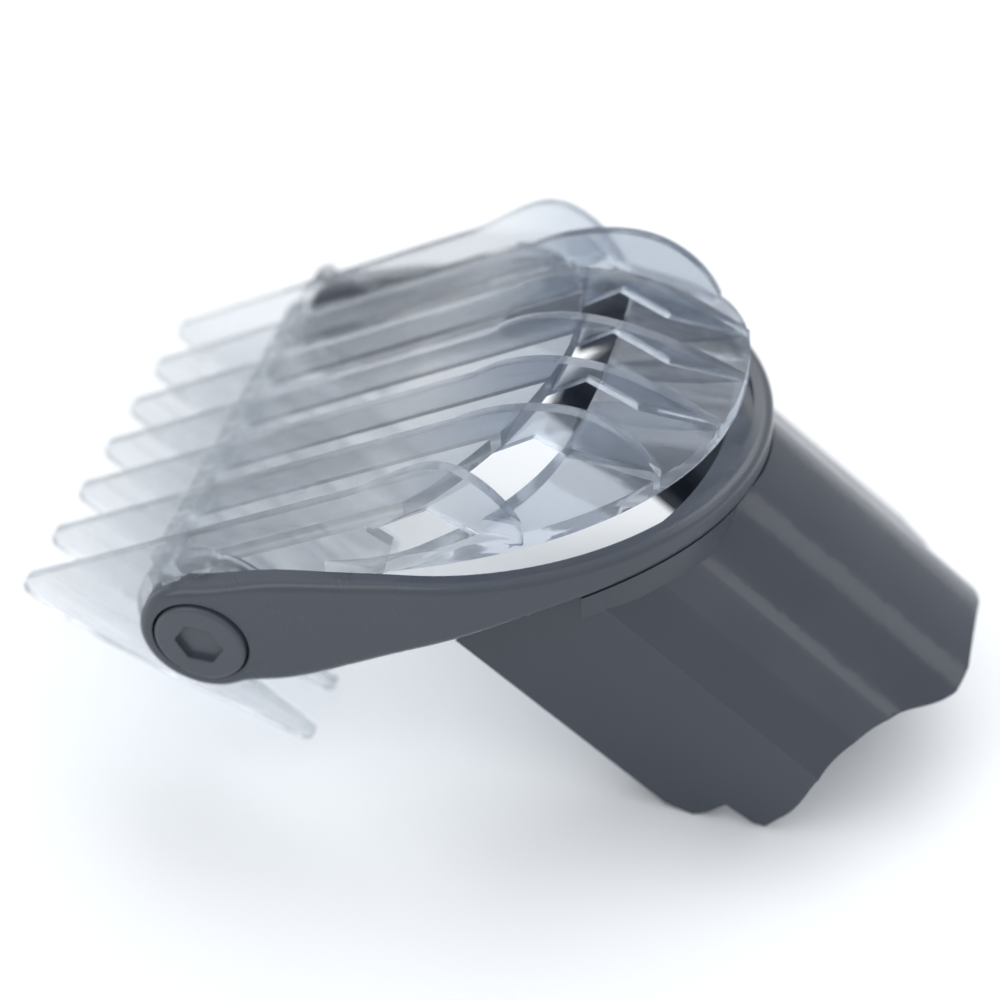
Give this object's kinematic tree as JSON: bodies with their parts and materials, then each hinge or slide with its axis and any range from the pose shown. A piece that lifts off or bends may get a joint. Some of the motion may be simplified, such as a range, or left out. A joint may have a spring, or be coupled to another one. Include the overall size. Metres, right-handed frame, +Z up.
{
  "type": "hair clipper guard comb",
  "caption": "Clear contour-following guard comb rocking on pivot pins in a black bow, with a slide that pushes onto a clipper's handle.",
  "frame": {"origin": "middle of the footprint, on the plane the guard rests on with its tooth heels and the end of its slide", "axes": "+Z up from the resting plane; +X along the rocking axis, across the comb; +Y from the tooth tips towards the slide's tongue"},
  "size_m": [0.051, 0.0862, 0.0402],
  "materials": {
    "clear_comb": "clear smoky moulding",
    "black_shell": "smooth satin gloss",
    "black_slide": "smooth satin gloss",
    "pin_black": "smooth satin gloss"
  },
  "bodies": {
    "bow_and_slide": {"bow": "black_shell", "slide": "black_slide", "near_pivot_pin": "pin_black", "far_pivot_pin": "pin_black"},
    "comb": {"comb_head": "clear_comb"}
  },
  "joints": [
    {"name": "comb_rocking", "type": "hinge", "parent": "bow_and_slide", "child": "comb", "pos_m": [0, -0.0237, 0.01561], "axis": [1, 0, 0], "range_deg": [-3.8, 0]}
  ]
}
